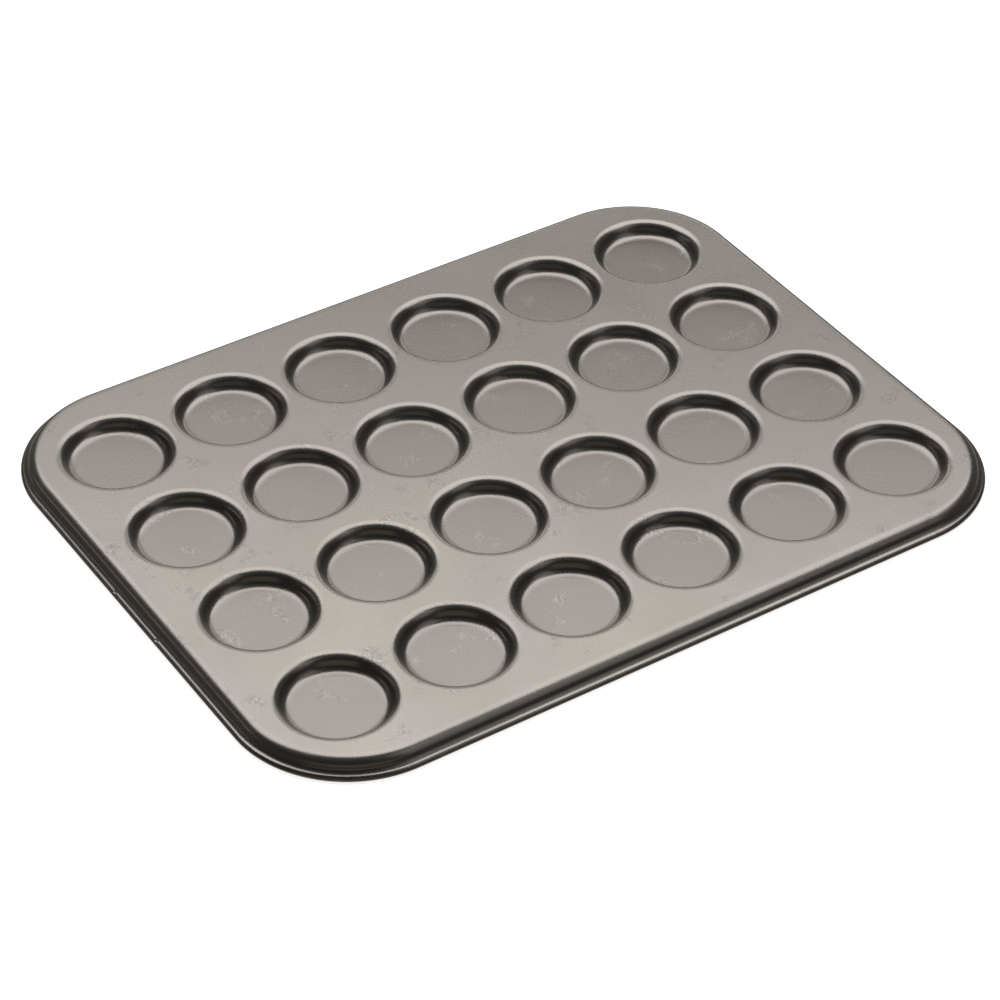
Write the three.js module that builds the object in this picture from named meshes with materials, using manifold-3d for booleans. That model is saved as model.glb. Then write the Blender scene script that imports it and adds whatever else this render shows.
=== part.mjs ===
// Shallow-cup muffin tin: a pressed steel sheet with a rolled rim that is closed over a wire.
// Lengths are in millimetres. +X runs along the long side and +Z is up.
// The origin is the middle of the footprint, on the surface that the rim stands on.
// The sheet is divided where it changes shape: the deck, one piece for each cup, and the rim.
import * as THREE from 'three';
import { mergeVertices } from 'three/addons/utils/BufferGeometryUtils.js';
import Module from 'manifold-3d';

// Whole tin
const overallLength = 349.4;
const overallWidth = 265.4;
const sheetThickness = 0.6;
const cornerRadius = 43;
const cornerSteps = 9;
const gap = 0.3;

// Rim section: the deck's edge bends down to the steepest part of the skirt, flares out again
// almost to level, and goes on round the bead
const edgeBendRadius = 4.7;
const skirtAngle = 73.5;
const flareBendRadius = 2.83;
const flareEndAngle = 15;
const beadRadius = 1.5;
const beadFacet = 30;
const curlEndAngle = -195;

// Wire inside the bead, and the two nicks in the bead beside the wire's joint
const wireRadius = beadRadius - sheetThickness - gap;
const wireSides = 8;
const wireJointGap = 1;
const nickSpacing = 34;
const nickMiddleY = -2.55;
const nickWidth = 1.6;
const nickLength = 1.6;
const nickDepth = 0.75;

// Cups
const cupRows = 4;
const cupColumns = 6;
const cupPitchX = 53.5;
const cupPitchY = 58.5;
const cupFieldOffsetX = -0.2;
const cupFieldOffsetY = -1.3;
const cupRadius = 25.4;
const cupDepth = 5.7;
const cupWallAngle = 66;
const lipBendRadius = 3.9;
const floorBendRadius = 3.9;
const cupSides = 20;

// Worked out from the values above. The bead's middle is measured out from the edge of the flat
// deck and down from its top.
const skirtSlope = THREE.MathUtils.degToRad(skirtAngle);
const flareSlope = THREE.MathUtils.degToRad(flareEndAngle);
const flareOut = (edgeBendRadius + flareBendRadius) * Math.sin(skirtSlope);
const flareDown = edgeBendRadius - (edgeBendRadius + flareBendRadius) * Math.cos(skirtSlope);
const beadOut = flareOut - (flareBendRadius + beadRadius) * Math.sin(flareSlope);
const beadDown = flareDown + (flareBendRadius + beadRadius) * Math.cos(flareSlope);
const beadFlat = beadRadius * Math.cos(THREE.MathUtils.degToRad(beadFacet / 2));
const deckTop = beadDown + beadFlat;
const deckHalfLength = overallLength / 2 - beadOut - beadFlat;
const deckHalfWidth = overallWidth / 2 - beadOut - beadFlat;

const wasm = await Module();
wasm.setup();

function coatedSteel() {
  return new THREE.MeshStandardMaterial({ color: 0xa39e96, roughness: 0.42, metalness: 0.65 });
}

function bareWire() {
  return new THREE.MeshStandardMaterial({ color: 0x8d8f90, roughness: 0.35, metalness: 0.95 });
}

// Points on an arc, with angles in degrees counted anticlockwise from the first axis
function arc(centreOut, centreUp, radius, fromAngle, toAngle, steps) {
  const points = [];
  for (let step = 0; step <= steps; step += 1) {
    const angle = THREE.MathUtils.degToRad(fromAngle + ((toAngle - fromAngle) * step) / steps);
    const out = centreOut + radius * Math.cos(angle);
    const up = centreUp + radius * Math.sin(angle);
    points.push(new THREE.Vector2(out, up));
  }
  return points;
}

// A rounded rectangle as a ring of stations. Each has the centre of its corner and the outward
// direction, so that one section can be set at every station at its own distance outwards.
function cornerStations(corner) {
  const middle = ((corner + 0.5) * Math.PI) / 2;
  const centre = new THREE.Vector2(
    Math.sign(Math.cos(middle)) * (deckHalfLength - cornerRadius),
    Math.sign(Math.sin(middle)) * (deckHalfWidth - cornerRadius),
  );
  const stations = [];
  for (let step = 0; step <= cornerSteps; step += 1) {
    const angle = ((corner + step / cornerSteps) * Math.PI) / 2;
    const direction = new THREE.Vector2(Math.cos(angle), Math.sin(angle));
    stations.push({ centre, direction });
  }
  return stations;
}

function stationPoint(station, out) {
  return station.centre.clone().addScaledVector(station.direction, cornerRadius + out);
}

const ringStations = [0, 1, 2, 3].flatMap(cornerStations);

// Carries a section, listed clockwise, along the stations. A closed sweep joins its ends.
function sweep(section, stations, closed) {
  const positions = [];
  const indices = [];
  for (const station of stations) {
    for (const point of section) {
      const place = stationPoint(station, point.x);
      positions.push(place.x, place.y, point.y);
    }
  }
  const sides = section.length;
  const spans = closed ? stations.length : stations.length - 1;
  for (let span = 0; span < spans; span += 1) {
    const here = span * sides;
    const there = ((span + 1) % stations.length) * sides;
    for (let side = 0; side < sides; side += 1) {
      const next = (side + 1) % sides;
      indices.push(here + side, here + next, there + next);
      indices.push(here + side, there + next, there + side);
    }
  }
  if (!closed) {
    const last = (stations.length - 1) * sides;
    for (let side = 1; side < sides - 1; side += 1) {
      indices.push(0, side + 1, side);
      indices.push(last, last + side, last + side + 1);
    }
  }
  const geometry = new THREE.BufferGeometry();
  geometry.setAttribute('position', new THREE.Float32BufferAttribute(positions, 3));
  geometry.setIndex(indices);
  return geometry;
}

function toSolid(geometry) {
  const bare = geometry.clone();
  bare.deleteAttribute('normal');
  bare.deleteAttribute('uv');
  const merged = mergeVertices(bare, 1e-5);
  return new wasm.Manifold(new wasm.Mesh({
    numProp: 3,
    vertProperties: new Float32Array(merged.attributes.position.array),
    triVerts: new Uint32Array(merged.index.array),
  }));
}

function toGeometry(solid) {
  const mesh = solid.getMesh();
  const geometry = new THREE.BufferGeometry();
  geometry.setAttribute('position', new THREE.BufferAttribute(mesh.vertProperties, 3));
  geometry.setIndex(new THREE.BufferAttribute(mesh.triVerts, 1));
  geometry.computeVertexNormals();
  return geometry;
}

function cupCentre(row, column) {
  return new THREE.Vector2(
    cupFieldOffsetX + (column - (cupColumns - 1) / 2) * cupPitchX,
    cupFieldOffsetY + (row - (cupRows - 1) / 2) * cupPitchY,
  );
}

// Flat plate between the cups and the rim
function deckGeometry() {
  const outline = ringStations.map((station) => stationPoint(station, -gap));
  const plate = new THREE.Shape(outline);
  for (let row = 0; row < cupRows; row += 1) {
    for (let column = 0; column < cupColumns; column += 1) {
      const centre = cupCentre(row, column);
      const hole = arc(centre.x, centre.y, cupRadius + gap, 360, 360 / cupSides, cupSides - 1);
      plate.holes.push(new THREE.Path(hole));
    }
  }
  return new THREE.ExtrudeGeometry(plate, { depth: sheetThickness, bevelEnabled: false });
}

// One cup: a rounded lip, a sloping wall, a rounded foot and a flat floor, all one sheet thick
function cupGeometry() {
  const slope = THREE.MathUtils.degToRad(cupWallAngle);
  const bendDrop = (lipBendRadius + floorBendRadius) * (1 - Math.cos(slope));
  const wallRun = (cupDepth - bendDrop) / Math.tan(slope);
  const bendRun = (lipBendRadius + floorBendRadius) * Math.sin(slope);
  const floorRadius = cupRadius - bendRun - wallRun;
  const lipUp = -lipBendRadius;
  const floorUp = floorBendRadius - cupDepth;
  const lipInner = lipBendRadius - sheetThickness;
  const floorOuter = floorBendRadius + sheetThickness;
  const turned = 270 + cupWallAngle;
  const profile = [
    new THREE.Vector2(0, -cupDepth - sheetThickness),
    ...arc(floorRadius, floorUp, floorOuter, 270, turned, 2),
    ...arc(cupRadius, lipUp, lipInner, 90 + cupWallAngle, 90, 2),
    ...arc(cupRadius, lipUp, lipBendRadius, 90, 90 + cupWallAngle, 2),
    ...arc(floorRadius, floorUp, floorBendRadius, turned, 270, 2),
    new THREE.Vector2(0, -cupDepth),
  ];
  const cup = new THREE.LatheGeometry(profile, cupSides);
  return cup.rotateX(Math.PI / 2);
}

// Section of the rim: over the edge bend, out along the flare and round the bead, then back along
// the inner face of the sheet. Neighbouring arcs share an end point.
function rimSection() {
  const edgeEnd = 90 - skirtAngle;
  const flareStart = 270 - skirtAngle;
  const flareEnd = 270 - flareEndAngle;
  const beadStart = 90 - flareEndAngle;
  const facets = (beadStart - curlEndAngle) / beadFacet;
  const beadInner = beadRadius - sheetThickness;
  const flareInner = flareBendRadius + sheetThickness;
  const edgeInner = edgeBendRadius - sheetThickness;
  return [
    ...arc(0, -edgeBendRadius, edgeBendRadius, 90, edgeEnd, 4),
    ...arc(flareOut, -flareDown, flareBendRadius, flareStart, flareEnd, 3).slice(1),
    ...arc(beadOut, -beadDown, beadRadius, beadStart, curlEndAngle, facets).slice(1),
    ...arc(beadOut, -beadDown, beadInner, curlEndAngle, beadStart, facets),
    ...arc(flareOut, -flareDown, flareInner, flareEnd, flareStart, 3).slice(1),
    ...arc(0, -edgeBendRadius, edgeInner, edgeEnd, 90, 4).slice(1),
  ];
}

// A cut through the upper side of the bead, tall enough to clear the flare beside it
function nickSolid(side) {
  const height = nickDepth + beadRadius;
  const nick = new THREE.BoxGeometry(nickLength, nickWidth, height);
  const x = -(deckHalfLength + beadOut);
  const y = nickMiddleY + (side * nickSpacing) / 2;
  const z = beadRadius - beadDown - nickDepth + height / 2;
  return toSolid(nick.translate(x, y, z));
}

function rimGeometry() {
  const rim = toSolid(sweep(rimSection(), ringStations, true));
  return toGeometry(rim.subtract(nickSolid(-1)).subtract(nickSolid(1)));
}

// A station on the short side where the wire's ends meet
function jointStation(side) {
  const y = nickMiddleY + (side * wireJointGap) / 2;
  const centre = new THREE.Vector2(cornerRadius - deckHalfLength, y);
  return { centre, direction: new THREE.Vector2(-1, 0) };
}

function wireGeometry() {
  const section = arc(beadOut, -beadDown, wireRadius, 360, 360 / wireSides, wireSides - 1);
  const corners = [2, 3, 0, 1].flatMap(cornerStations);
  return sweep(section, [jointStation(-1), ...corners, jointStation(1)], false);
}

function part(name, geometry, material, x, y, z) {
  const mesh = new THREE.Mesh(geometry, material);
  mesh.name = name;
  mesh.position.set(x, y, z);
  return mesh;
}

function cups() {
  const group = new THREE.Group();
  const geometry = cupGeometry();
  for (let row = 0; row < cupRows; row += 1) {
    for (let column = 0; column < cupColumns; column += 1) {
      const centre = cupCentre(row, column);
      const name = `cup_row${row + 1}_column${column + 1}`;
      group.add(part(name, geometry, coatedSteel(), centre.x, centre.y, deckTop));
    }
  }
  return group;
}

const muffinTin = new THREE.Group();
muffinTin.add(part('deck', deckGeometry(), coatedSteel(), 0, 0, deckTop - sheetThickness));
muffinTin.add(cups());
muffinTin.add(part('rolled_rim', rimGeometry(), coatedSteel(), 0, 0, deckTop));
muffinTin.add(part('rim_wire', wireGeometry(), bareWire(), 0, 0, deckTop));

export default muffinTin;
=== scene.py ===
"""Looks of the shallow-cup muffin tin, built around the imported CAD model. Lengths are in metres."""

import math

import bmesh
import bpy
from mathutils import Matrix, Vector

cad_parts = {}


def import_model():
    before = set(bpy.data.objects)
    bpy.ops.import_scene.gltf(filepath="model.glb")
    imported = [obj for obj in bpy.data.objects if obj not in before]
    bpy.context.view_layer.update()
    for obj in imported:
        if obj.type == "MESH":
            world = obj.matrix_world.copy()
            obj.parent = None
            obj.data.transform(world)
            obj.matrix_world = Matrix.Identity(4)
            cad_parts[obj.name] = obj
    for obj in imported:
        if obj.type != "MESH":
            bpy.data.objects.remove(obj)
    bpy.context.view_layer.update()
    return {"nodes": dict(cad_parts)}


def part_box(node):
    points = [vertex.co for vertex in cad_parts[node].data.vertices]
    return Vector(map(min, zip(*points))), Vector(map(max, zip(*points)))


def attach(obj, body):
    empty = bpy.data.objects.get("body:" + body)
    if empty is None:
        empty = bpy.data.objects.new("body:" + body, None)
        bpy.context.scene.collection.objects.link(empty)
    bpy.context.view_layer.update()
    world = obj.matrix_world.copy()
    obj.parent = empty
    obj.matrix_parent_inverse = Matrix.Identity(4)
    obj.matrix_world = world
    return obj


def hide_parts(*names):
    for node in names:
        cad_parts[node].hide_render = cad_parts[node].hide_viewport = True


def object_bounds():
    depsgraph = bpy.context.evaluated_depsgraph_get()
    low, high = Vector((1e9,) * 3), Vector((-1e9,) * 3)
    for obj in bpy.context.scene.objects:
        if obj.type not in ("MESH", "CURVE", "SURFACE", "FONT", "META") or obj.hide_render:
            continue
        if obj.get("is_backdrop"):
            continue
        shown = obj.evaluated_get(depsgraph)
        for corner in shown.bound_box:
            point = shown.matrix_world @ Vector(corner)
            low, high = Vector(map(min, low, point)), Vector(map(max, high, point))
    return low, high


MM = 0.001

# Sheet
THICKNESS = 0.6 * MM
CORNER_RADIUS = 43 * MM
CORNER_STEPS = 32

# Rim section: the edge bend, the concave flare, and the bead with its curl
EDGE_BEND = 4.7 * MM
SKIRT_ANGLE = math.radians(73.5)
FLARE_BEND = 2.83 * MM
FLARE_END = math.radians(15)
BEAD_RADIUS = 1.5 * MM
CURL_END = math.radians(-195)

# Wire in the bead, with a gap where its ends meet
WIRE_RADIUS = 0.6 * MM
WIRE_JOINT = 1 * MM
WIRE_SIDES = 16

# The two nicks pressed into the bead, one on each side of the wire's joint
NICK_MIDDLE = -2.55 * MM
NICK_SPACING = 34 * MM
NICK_WIDTH = 1.6 * MM
NICK_DEPTH = 0.5 * MM
NICK_SPREAD = math.radians(42)
NICK_STEPS = 12

# Cups
CUP_RADIUS = 25.4 * MM
CUP_DEPTH = 5.7 * MM
WALL_ANGLE = math.radians(66)
LIP_BEND = 3.9 * MM
FLOOR_BEND = 3.9 * MM
CUP_SIDES = 80

# Narrow flat strips round the deck and round each cup, which the deck's own faces start from
DECK_STRIP = 1 * MM
CUP_STRIP = 0.6 * MM

# The bead's middle, measured out from the edge of the flat deck and down from its top
FLARE_OUT = (EDGE_BEND + FLARE_BEND) * math.sin(SKIRT_ANGLE)
FLARE_DOWN = EDGE_BEND - (EDGE_BEND + FLARE_BEND) * math.cos(SKIRT_ANGLE)
BEAD_OUT = FLARE_OUT - (FLARE_BEND + BEAD_RADIUS) * math.sin(FLARE_END)
BEAD_DOWN = FLARE_DOWN + (FLARE_BEND + BEAD_RADIUS) * math.cos(FLARE_END)

UP = math.pi / 2

# Light colours
WHITE = (1, 1, 1)
WARM = (1, 0.84, 0.7)
COOL = (0.88, 1, 0.95)


# Sections of the sheet. A station is how far out, how far up, and the angle that the upper face
# looks at: 90 degrees is straight up and 0 degrees is outwards.


def outer_bend(out, up, radius, start, end, steps):
    """An arc with the sheet's upper face on its outside."""
    stations = []
    for step in range(steps + 1):
        angle = start + (end - start) * step / steps
        place_out = out + radius * math.cos(angle)
        place_up = up + radius * math.sin(angle)
        stations.append((place_out, place_up, angle))
    return stations


def inner_bend(out, up, radius, start, end, steps):
    """An arc with the sheet's upper face on its inside."""
    arc = outer_bend(out, up, radius, start, end, steps)
    return [(place_out, place_up, angle - math.pi) for place_out, place_up, angle in arc]


def rim_section():
    """From the edge of the flat deck to the cut edge inside the bead."""
    edge = outer_bend(0, -EDGE_BEND, EDGE_BEND, UP, UP - SKIRT_ANGLE, 14)
    start = math.pi + UP - SKIRT_ANGLE
    end = math.pi + UP - FLARE_END
    flare = inner_bend(FLARE_OUT, -FLARE_DOWN, FLARE_BEND, start, end, 10)
    bead = outer_bend(BEAD_OUT, -BEAD_DOWN, BEAD_RADIUS, UP - FLARE_END, CURL_END, 44)
    return edge + flare[1:] + bead[1:]


def cup_section():
    """From the flat deck down to the flat floor, with distances out from the cup's axis."""
    bend_drop = (LIP_BEND + FLOOR_BEND) * (1 - math.cos(WALL_ANGLE))
    wall_run = (CUP_DEPTH - bend_drop) / math.tan(WALL_ANGLE)
    bend_run = (LIP_BEND + FLOOR_BEND) * math.sin(WALL_ANGLE)
    floor_radius = CUP_RADIUS - bend_run - wall_run
    lip = outer_bend(CUP_RADIUS, -LIP_BEND, LIP_BEND, UP, UP + WALL_ANGLE, 8)
    foot_up = FLOOR_BEND - CUP_DEPTH
    foot_start = math.pi + UP + WALL_ANGLE
    foot = inner_bend(floor_radius, foot_up, FLOOR_BEND, foot_start, math.pi + UP, 8)
    floor = [(floor_radius * share, -CUP_DEPTH, UP) for share in (0.95, 0.7, 0.3)]
    return lip + foot + floor


# The sheet's plan


class Plan:
    """Where the deck, the cups and the rim are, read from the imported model."""

    def __init__(self, nodes):
        deck_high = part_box("deck")[1]
        rim_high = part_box("rolled_rim")[1]
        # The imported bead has 30-degree facets, whose flats lie inside its true radius.
        reach = BEAD_OUT + BEAD_RADIUS * math.cos(math.radians(15))
        self.top = deck_high.z
        self.half_length = rim_high.x - reach
        self.half_width = rim_high.y - reach
        self.cup_names = [name for name in nodes if name.startswith("cup_row")]
        self.cups = [self.middle(name) for name in sorted(self.cup_names)]

    def middle(self, name):
        low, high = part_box(name)
        return (low + high).xy / 2

    def outline(self):
        """Stations round the deck: the centre of each one's corner, and its outward direction."""
        stations = []
        for corner in range(4):
            middle = (corner + 0.5) * UP
            x = math.copysign(self.half_length - CORNER_RADIUS, math.cos(middle))
            y = math.copysign(self.half_width - CORNER_RADIUS, math.sin(middle))
            for step in range(CORNER_STEPS + 1):
                angle = (corner + step / CORNER_STEPS) * UP
                direction = Vector((math.cos(angle), math.sin(angle)))
                stations.append((Vector((x, y)), direction))
            if corner == 1:
                stations.extend(self.left_side(x))
        return stations

    def left_side(self, x):
        """Close stations round both nicks, on the way down the left side."""
        stations = []
        for side in (1, -1):
            nick = NICK_MIDDLE + side * NICK_SPACING / 2
            for step in range(-NICK_STEPS, NICK_STEPS + 1):
                y = nick - step * NICK_WIDTH / NICK_STEPS
                stations.append((Vector((x, y)), Vector((-1, 0))))
        return stations


def outline_point(station, out):
    centre, direction = station
    return centre + direction * (CORNER_RADIUS + out)


# Mesh code


class Skin:
    """One face of the sheet, with the direction that it looks at kept for every vertex."""

    def __init__(self):
        self.mesh = bmesh.new()
        self.facing = []
        self.bend = self.mesh.verts.layers.float.new("bend")

    def vertex(self, flat, up, facing, bend=0):
        vertex = self.mesh.verts.new((flat.x, flat.y, up))
        vertex[self.bend] = bend
        self.facing.append(facing.normalized())
        return vertex

    def ring(self, places):
        return [self.vertex(*place) for place in places]

    def band(self, first, second):
        """Quads between two rings that run the same way round."""
        for here in range(len(first)):
            there = (here + 1) % len(first)
            self.mesh.faces.new((first[here], first[there], second[there], second[here]))


def tilted(direction, angle):
    return Vector((direction.x * math.cos(angle), direction.y * math.cos(angle), math.sin(angle)))


def nick_depth(y, angle):
    """How far a nick goes into the bead at a place on the left side."""
    # Lengths along the bead are in half widths of a nick.
    from_middle = abs(abs(y - NICK_MIDDLE) - NICK_SPACING / 2) / (NICK_WIDTH / 2)
    edge = 1.25
    slope = 0.45
    from_top = abs(angle - UP) / NICK_SPREAD
    if from_middle > edge or from_top > 1:
        return 0
    along = min(1, (edge - from_middle) / slope)
    return NICK_DEPTH * along * along * (3 - 2 * along) * math.cos(from_top * UP) ** 0.5


def rim_rub(out, angle):
    """How much a place on the rim gets rubbed: the edge bend and the outer side of the bead."""
    if out < EDGE_BEND:
        return math.sin(2 * (UP - angle)) ** 2 if angle > UP / 2 - SKIRT_ANGLE else 0
    return max(0, math.cos(angle - math.radians(20))) if out > BEAD_OUT else 0


def cup_rub(up, angle):
    """How much a place in a cup gets rubbed: only the upper part of the lip does."""
    if up > -LIP_BEND and angle < UP * 1.6:
        return math.sin(2 * (angle - UP)) ** 2
    return 0


def rim_rings(skin, plan, stations):
    """The rim's rings from the flat deck outwards and round the bead."""
    rings = []
    bead_top = BEAD_RADIUS - BEAD_DOWN + 0.01 * MM
    for out, up, angle in rim_section():
        places = []
        in_bead = out > BEAD_OUT - BEAD_RADIUS and up < bead_top
        for station in stations:
            flat = outline_point(station, out)
            facing = tilted(station[1], angle)
            on_left = abs(station[1].x + 1) < 1e-6
            depth = nick_depth(flat.y, angle) if in_bead and on_left else 0
            place = Vector((flat.x, flat.y, plan.top + up)) - facing * depth
            places.append((place.xy, place.z, facing, rim_rub(out, angle)))
        rings.append(skin.ring(places))
    return rings


def cup_rings(skin, plan, cup):
    """One cup's rings from the flat deck to the middle of its floor."""
    rings = []
    for out, up, angle in cup_section():
        places = []
        for side in range(CUP_SIDES):
            turn = 2 * math.pi * side / CUP_SIDES
            direction = Vector((math.cos(turn), math.sin(turn)))
            facing = tilted(direction, angle)
            places.append((cup + direction * out, plan.top + up, facing, cup_rub(up, angle)))
        rings.append(skin.ring(places))
    return rings


def circle_places(plan, cup, radius):
    places = []
    for side in range(CUP_SIDES):
        turn = 2 * math.pi * side / CUP_SIDES
        direction = Vector((math.cos(turn), math.sin(turn)))
        places.append((cup + direction * radius, plan.top, Vector((0, 0, 1))))
    return places


def ring_edges(skin, ring):
    edges = []
    for here in range(len(ring)):
        pair = (ring[here], ring[(here + 1) % len(ring)])
        edges.append(skin.mesh.edges.get(pair) or skin.mesh.edges.new(pair))
    return edges


def upper_skin(plan):
    """The whole upper face of the sheet as one open surface, with its last ring."""
    skin = Skin()
    stations = plan.outline()
    rings = rim_rings(skin, plan, stations)
    for first, second in zip(rings, rings[1:]):
        skin.band(second, first)
    upward = Vector((0, 0, 1))
    flat_edge = [(outline_point(place, -DECK_STRIP), plan.top, upward) for place in stations]
    plate_ring = skin.ring(flat_edge)
    skin.band(rings[0], plate_ring)
    edges = ring_edges(skin, plate_ring)
    for cup in plan.cups:
        cup_ring = cup_rings(skin, plan, cup)
        for first, second in zip(cup_ring, cup_ring[1:]):
            skin.band(first, second)
        middle = skin.vertex(cup, plan.top - CUP_DEPTH, upward)
        last = cup_ring[-1]
        for here in range(CUP_SIDES):
            skin.mesh.faces.new((last[here], last[(here + 1) % CUP_SIDES], middle))
        collar = skin.ring(circle_places(plan, cup, CUP_RADIUS + CUP_STRIP))
        skin.band(collar, cup_ring[0])
        edges.extend(ring_edges(skin, collar))
    bmesh.ops.triangle_fill(
        skin.mesh, use_beauty=True, use_dissolve=False, edges=edges, normal=(0, 0, 1)
    )
    return skin, rings[-1]


def sheet_mesh(plan):
    """Both faces of the sheet and the cut edge that joins them, as one closed surface."""
    skin, last = upper_skin(plan)
    mesh = skin.mesh
    upper = list(mesh.verts)
    faces = list(mesh.faces)
    lower = {}
    for vertex, facing in zip(upper, skin.facing):
        lower[vertex] = mesh.verts.new(vertex.co - facing * THICKNESS)
    for face in faces:
        mesh.faces.new([lower[vertex] for vertex in reversed(face.verts)])
    for here in range(len(last)):
        first = last[here]
        second = last[(here + 1) % len(last)]
        mesh.faces.new((first, second, lower[second], lower[first]))
    bmesh.ops.recalc_face_normals(mesh, faces=mesh.faces)
    return mesh


def wire_mesh(plan):
    """The wire in the bead. It goes once round from one side of its joint to the other.
    The joint is between the nicks, so the stations are turned to start after the first nick."""
    mesh = bmesh.new()
    stations = plan.outline()
    back_corners = 2 * (CORNER_STEPS + 1)
    first_nick = 2 * NICK_STEPS + 1
    joint = back_corners + first_nick
    turned = stations[joint:] + stations[:joint]
    x = turned[0][0].x
    start = (Vector((x, NICK_MIDDLE - WIRE_JOINT / 2)), Vector((-1, 0)))
    end = (Vector((x, NICK_MIDDLE + WIRE_JOINT / 2)), Vector((-1, 0)))
    rings = []
    for station in [start, *turned, end]:
        rings.append(wire_ring(mesh, plan, station))
    for first, second in zip(rings, rings[1:]):
        for here in range(len(first)):
            there = (here + 1) % len(first)
            mesh.faces.new((first[here], first[there], second[there], second[here]))
    mesh.faces.new(rings[0])
    mesh.faces.new(reversed(rings[-1]))
    bmesh.ops.recalc_face_normals(mesh, faces=mesh.faces)
    return mesh


def wire_ring(mesh, plan, station):
    ring = []
    for side in range(WIRE_SIDES):
        turn = 2 * math.pi * side / WIRE_SIDES
        flat = outline_point(station, BEAD_OUT + WIRE_RADIUS * math.cos(turn))
        up = plan.top - BEAD_DOWN + WIRE_RADIUS * math.sin(turn)
        ring.append(mesh.verts.new((flat.x, flat.y, up)))
    return ring


def piece(name, mesh, material, nodes):
    """A smooth-shaded piece that rides on the tin and stands for the named CAD nodes."""
    data = bpy.data.meshes.new(name)
    for face in mesh.faces:
        face.smooth = True
    mesh.to_mesh(data)
    mesh.free()
    made = bpy.data.objects.new(name, data)
    bpy.context.scene.collection.objects.link(made)
    data.materials.append(material)
    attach(made, "root")
    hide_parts(*nodes)


# Materials


class Nodes:
    """A material with a Principled surface, and short calls for the nodes that feed it."""

    def __init__(self, name):
        self.material = bpy.data.materials.new(name)
        self.material.use_nodes = True
        self.tree = self.material.node_tree
        self.surface = self.tree.nodes["Principled BSDF"]
        self.place = self.tree.nodes.new("ShaderNodeTexCoord").outputs["Object"]

    def set(self, **values):
        for name, value in values.items():
            self.surface.inputs[name.replace("_", " ")].default_value = value

    def link(self, output, socket):
        self.tree.links.new(output, self.surface.inputs[socket])

    def noise(self, size, detail=2, roughness=0.5):
        """Soft noise with features about this size, in metres."""
        node = self.tree.nodes.new("ShaderNodeTexNoise")
        node.inputs["Scale"].default_value = 1 / size
        node.inputs["Detail"].default_value = detail
        node.inputs["Roughness"].default_value = roughness
        self.tree.links.new(self.place, node.inputs["Vector"])
        return node.outputs["Fac"]

    def cells(self, size):
        """A random grey for every cell of about this size, in metres."""
        node = self.tree.nodes.new("ShaderNodeTexVoronoi")
        node.inputs["Scale"].default_value = 1 / size
        self.tree.links.new(self.place, node.inputs["Vector"])
        return node.outputs["Color"]

    def ramp(self, value, low, high, from_low=0.3, from_high=0.7):
        node = self.tree.nodes.new("ShaderNodeMapRange")
        node.inputs["From Min"].default_value = from_low
        node.inputs["From Max"].default_value = from_high
        node.inputs["To Min"].default_value = low
        node.inputs["To Max"].default_value = high
        self.tree.links.new(value, node.inputs["Value"])
        return node.outputs["Result"]

    def add(self, first, second):
        node = self.tree.nodes.new("ShaderNodeMath")
        node.operation = "ADD"
        self.tree.links.new(first, node.inputs[0])
        self.tree.links.new(second, node.inputs[1])
        return node.outputs["Value"]

    def multiply(self, first, second):
        node = self.tree.nodes.new("ShaderNodeMath")
        node.operation = "MULTIPLY"
        self.tree.links.new(first, node.inputs[0])
        self.tree.links.new(second, node.inputs[1])
        return node.outputs["Value"]

    def scale(self, value, factor):
        return self.ramp(value, 0, factor, 0, 1)

    def height(self):
        """The height above the plane that the tin stands on."""
        node = self.tree.nodes.new("ShaderNodeSeparateXYZ")
        self.tree.links.new(self.place, node.inputs["Vector"])
        return node.outputs["Z"]

    def wear(self):
        """Rubbed places: the outer bends, broken up by noise."""
        node = self.tree.nodes.new("ShaderNodeAttribute")
        node.attribute_name = "bend"
        return self.multiply(node.outputs["Fac"], self.ramp(self.noise(5 * MM, 4, 0.7), 0, 1))

    def mix(self, share, first, second):
        """A colour between two colours, each a colour or another node's output."""
        node = self.tree.nodes.new("ShaderNodeMix")
        node.data_type = "RGBA"
        self.tree.links.new(share, node.inputs["Factor"])
        for socket, colour in ((node.inputs[6], first), (node.inputs[7], second)):
            if isinstance(colour, tuple):
                socket.default_value = (*colour, 1)
            else:
                self.tree.links.new(colour, socket)
        return node.outputs[2]

    def bump(self, height, distance, below=None):
        node = self.tree.nodes.new("ShaderNodeBump")
        node.inputs["Strength"].default_value = 1
        node.inputs["Distance"].default_value = distance
        self.tree.links.new(height, node.inputs["Height"])
        if below:
            self.tree.links.new(below, node.inputs["Normal"])
        return node.outputs["Normal"]


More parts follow.
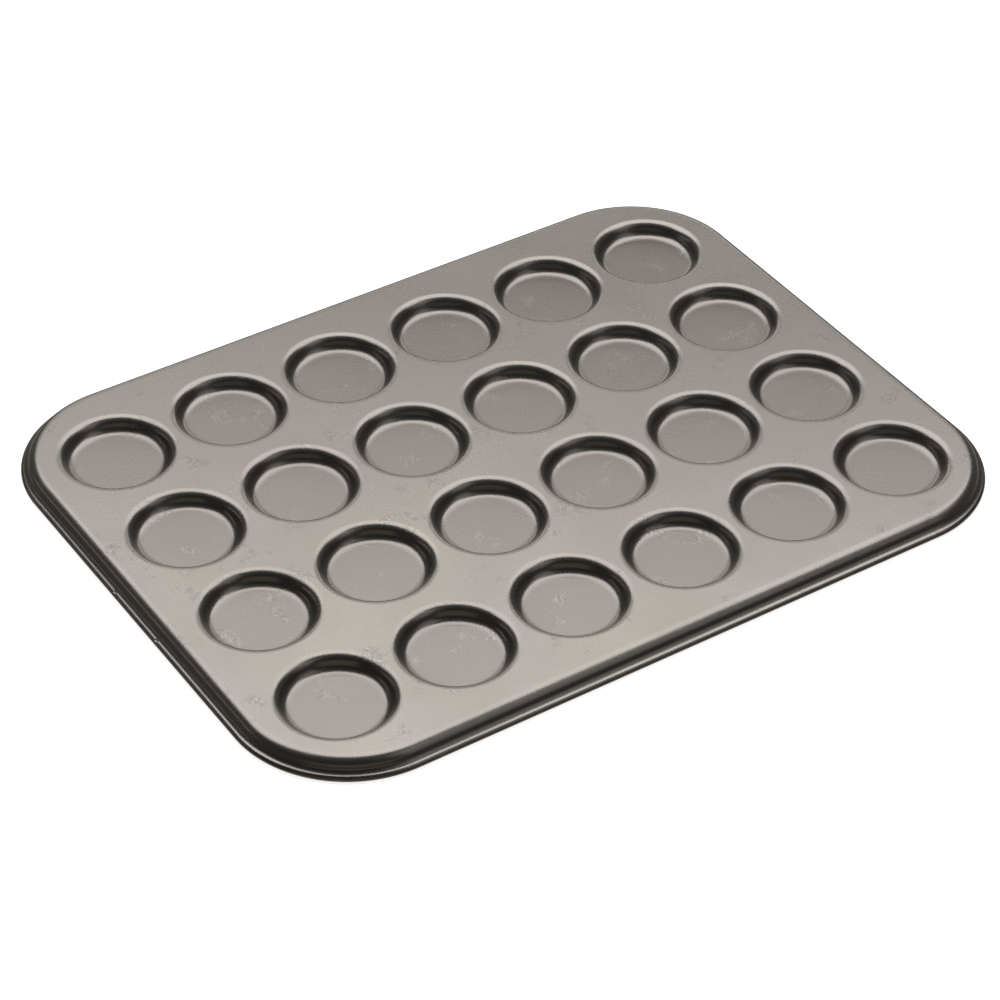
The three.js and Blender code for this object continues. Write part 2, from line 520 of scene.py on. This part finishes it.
def coated_steel(floor_height):
    """Dark warm grey non-stick coating: satin, with tinted clouds, speckled patches and peel.
    It is darker on the cup floors and low on the rim: painted shade, set by height above the floor."""
    nodes = Nodes("coated_steel")
    nodes.set(Metallic=0.85, Specular_IOR_Level=0.9, Specular_Tint=(1, 0.95, 0.9, 1))
    clouds = nodes.ramp(nodes.noise(90 * MM, 3), 0, 1, 0.35, 0.65)
    smoke = nodes.ramp(nodes.noise(38 * MM, 4), 0, 1, 0.35, 0.65)
    patches = nodes.ramp(nodes.noise(13 * MM, 2), 0, 1, 0.60, 0.68)
    grain = nodes.noise(0.8 * MM, 3, 0.6)
    specks = nodes.ramp(nodes.cells(0.6 * MM), 0, 1, 0.35, 0.8)
    tinted = nodes.mix(clouds, (0.0700, 0.0650, 0.0575), (0.0690, 0.0595, 0.0580))
    smoked = nodes.mix(nodes.scale(smoke, 0.4), tinted, (0.0600, 0.0550, 0.0495))
    # Painted shade: the colour is darkened on the cup floors and low on the rim, set by height above
    # the floor.
    low = nodes.ramp(nodes.height(), 1, 0, floor_height + 0.02 * MM, floor_height + 0.3 * MM)
    painted_shade_low = nodes.mix(nodes.scale(low, 0.8), smoked, (0.0500, 0.0432, 0.0408))
    speck = nodes.mix(specks, (0.036, 0.033, 0.030), (0.095, 0.088, 0.082))
    speckled = nodes.mix(nodes.scale(patches, 0.6), painted_shade_low, speck)
    worn = nodes.mix(nodes.scale(nodes.wear(), 0.3), speckled, (0.11, 0.105, 0.098))
    nodes.link(worn, "Base Color")
    rough = nodes.add(nodes.ramp(grain, 0.27, 0.29), nodes.ramp(smoke, -0.015, 0.015, 0, 1))
    nodes.link(nodes.add(rough, nodes.scale(patches, 0.01)), "Roughness")
    peel = nodes.bump(nodes.noise(3 * MM, 2), 0.010 * MM)
    grained = nodes.bump(grain, 0.002 * MM, peel)
    nodes.link(nodes.bump(nodes.multiply(patches, specks), 0.008 * MM, grained), "Normal")
    return nodes.material


def wire_steel():
    """Bare drawn wire: a fine grain and slight tarnish."""
    nodes = Nodes("bare_wire")
    nodes.set(Metallic=1)
    tarnish = nodes.ramp(nodes.noise(6 * MM, 3), 0, 1)
    nodes.link(nodes.mix(tarnish, (0.45, 0.45, 0.44), (0.30, 0.28, 0.26)), "Base Color")
    nodes.link(nodes.ramp(tarnish, 0.3, 0.5, 0, 1), "Roughness")
    nodes.link(nodes.bump(nodes.noise(0.2 * MM, 2), 0.01 * MM), "Normal")
    return nodes.material


def floor_surface():
    """A pale, lit table top: matt, with hardly any tone, glowing so that shadows stay faint."""
    nodes = Nodes("studio_floor")
    nodes.set(Roughness=0.8, Specular_IOR_Level=0.2, Emission_Strength=0.85)
    nodes.set(Emission_Color=(1, 1, 0.995, 1))
    tone = nodes.ramp(nodes.noise(0.4, 2), 0, 1)
    nodes.link(nodes.mix(tone, (0.15, 0.15, 0.149), (0.16, 0.16, 0.159)), "Base Color")
    return nodes.material


# Studio


def floor():
    """A pale floor, 12 metres wide, level with the underside of the tin."""
    mesh = bmesh.new()
    half = 6
    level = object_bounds()[0][2]
    corners = [(-half, -half), (half, -half), (half, half), (-half, half)]
    mesh.faces.new([mesh.verts.new((x, y, level)) for x, y in corners])
    data = bpy.data.meshes.new("floor")
    mesh.to_mesh(data)
    mesh.free()
    data.materials.append(floor_surface())
    made = bpy.data.objects.new("floor", data)
    made.visible_glossy = False
    bpy.context.scene.collection.objects.link(made)
    made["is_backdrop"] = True


def toward(azimuth, elevation):
    """The direction from the tin at an azimuth, counted clockwise from +Y, and an elevation."""
    around = math.radians(azimuth)
    above = math.radians(elevation)
    flat = math.cos(above)
    return Vector((math.sin(around) * flat, math.cos(around) * flat, math.sin(above)))


def soft_box(name, azimuth, elevation, distance, width, height, power, colour=WHITE):
    """A rectangular studio light that faces the tin."""
    data = bpy.data.lights.new(name, "AREA")
    data.shape = "RECTANGLE"
    data.size = width
    data.size_y = height
    data.energy = power
    data.color = colour
    light = bpy.data.objects.new(name, data)
    bpy.context.scene.collection.objects.link(light)
    place = toward(azimuth, elevation) * distance
    light.location = place
    light.rotation_euler = place.to_track_quat("Z", "Y").to_euler()


def overhead_panel(name, height, near, far, width, azimuth, power, colour=WHITE):
    """A level soft box above the tin, between two distances from it along an azimuth."""
    data = bpy.data.lights.new(name, "AREA")
    data.shape = "RECTANGLE"
    data.size = width
    data.size_y = far + near
    data.energy = power
    data.color = colour
    light = bpy.data.objects.new(name, data)
    bpy.context.scene.collection.objects.link(light)
    middle = toward(azimuth, 0) * (far - near) / 2
    light.location = Vector((middle.x, middle.y, height))
    light.rotation_euler = (0, 0, math.radians(-azimuth))


def world():
    """A dim, slightly warm studio that gets pale well below the horizon."""
    made = bpy.data.worlds.new("studio")
    made.use_nodes = True
    tree = made.node_tree
    place = tree.nodes.new("ShaderNodeTexCoord").outputs["Generated"]
    split = tree.nodes.new("ShaderNodeSeparateXYZ")
    ramp = tree.nodes.new("ShaderNodeValToRGB")
    shift = tree.nodes.new("ShaderNodeMapRange")
    shift.inputs["From Min"].default_value = -1
    tree.links.new(place, split.inputs["Vector"])
    tree.links.new(split.outputs["Z"], shift.inputs["Value"])
    tree.links.new(shift.outputs["Result"], ramp.inputs["Fac"])
    tree.links.new(ramp.outputs["Color"], tree.nodes["Background"].inputs["Color"])
    below = ((0, 1.1), (0.25, 0.8), (0.36, 0.2), (0.47, 0.08))
    tones = (*below, (0.5, 0.2), (0.58, 0.2), (0.64, 0.05), (1, 0.05))
    for share, tone in tones[1:-1]:
        ramp.color_ramp.elements.new(share)
    for element, (share, tone) in zip(ramp.color_ramp.elements, tones):
        element.position = share
        element.color = (tone, tone * 0.92, tone * 0.82, 1)
    bpy.context.scene.world = made


def camera(target, azimuth, elevation, roll, distance, lens):
    """A camera at a distance from the target, looking along the azimuth and down."""
    data = bpy.data.cameras.new("camera")
    data.sensor_width = 36
    data.lens = lens
    made = bpy.data.objects.new("camera", data)
    bpy.context.scene.collection.objects.link(made)
    turn = Matrix.Rotation(math.radians(-azimuth), 4, "Z")
    tip = Matrix.Rotation(math.radians(90 - elevation), 4, "X")
    lean = Matrix.Rotation(math.radians(roll), 4, "Z")
    look = turn @ tip @ lean
    back = look.to_3x3() @ Vector((0, 0, 1))
    made.matrix_world = Matrix.Translation(target + back * distance) @ look
    bpy.context.scene.camera = made


def studio(plan):
    target = Vector((-18.0 * MM, -24.8 * MM, plan.top))
    camera(target, azimuth=33.70, elevation=39.33, roll=0.74, distance=1.3473, lens=119.5)
    overhead_panel("overhead", height=1.5, near=0.0, far=1.9, width=2.5, azimuth=34, power=115)
    overhead_panel(
        "top", height=1.5, near=-0.3, far=1.4, width=1.3, azimuth=17, power=26, colour=COOL
    )
    soft_box("back_wall", azimuth=33, elevation=20, distance=2.1, width=2.0, height=0.75, power=14)
    soft_box(
        "front_fill",
        azimuth=213,
        elevation=10,
        distance=2.2,
        width=3,
        height=0.6,
        power=3.2,
        colour=WARM,
    )
    soft_box("rear", azimuth=140, elevation=48, distance=2, width=1.6, height=0.8, power=6)
    soft_box("rear_low", azimuth=153, elevation=24, distance=2, width=1, height=0.7, power=2.6)
    soft_box("left_edge", azimuth=-49, elevation=11, distance=2, width=1.2, height=0.08, power=1.3)
    world()
    floor()
    bpy.context.scene.view_settings.view_transform = "Standard"


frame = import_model()
tin = Plan(frame["nodes"])
sheet_nodes = ["deck", "rolled_rim", *tin.cup_names]
coating = coated_steel(tin.top - CUP_DEPTH)
piece("pressed_sheet", sheet_mesh(tin), coating, sheet_nodes)
piece("bead_wire", wire_mesh(tin), wire_steel(), ["rim_wire"])
studio(tin)
